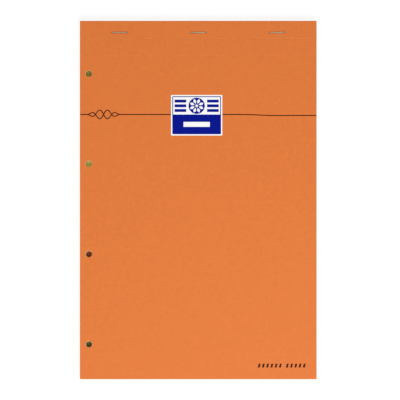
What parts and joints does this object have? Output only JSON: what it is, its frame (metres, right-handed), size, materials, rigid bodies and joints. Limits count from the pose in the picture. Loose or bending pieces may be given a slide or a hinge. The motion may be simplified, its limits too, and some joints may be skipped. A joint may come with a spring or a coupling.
{
  "type": "legal pad",
  "caption": "Head-stapled writing pad with a wrap-round card cover that opens at a crease, yellow sheets, a stiff board back and filing holes.",
  "frame": {"origin": "middle of the flat back, at the centre of the bounding box's underside", "axes": "+X to the right edge, +Y to the stapled head, +Z out of the front cover"},
  "size_m": [0.21, 0.318, 0.0105],
  "materials": {
    "cover_card": "coated orange card, faint mottling, low sheen",
    "yellow_paper": "uncoated yellow writing paper",
    "grey_board": "pressed grey board",
    "staple_wire": "drawn galvanised steel wire"
  },
  "bodies": {
    "pad": {"cover_wrap": "cover_card", "ruled_sheets": "yellow_paper", "back_board": "grey_board", "staple_left": "staple_wire", "staple_middle": "staple_wire", "staple_right": "staple_wire"},
    "cover": {"front_cover": "cover_card"}
  },
  "joints": [
    {"name": "cover_hinge", "type": "hinge", "parent": "pad", "child": "cover", "pos_m": [0, 0.1428, 0.0101], "axis": [-1, 0, 0], "range_deg": [0, 170]}
  ]
}
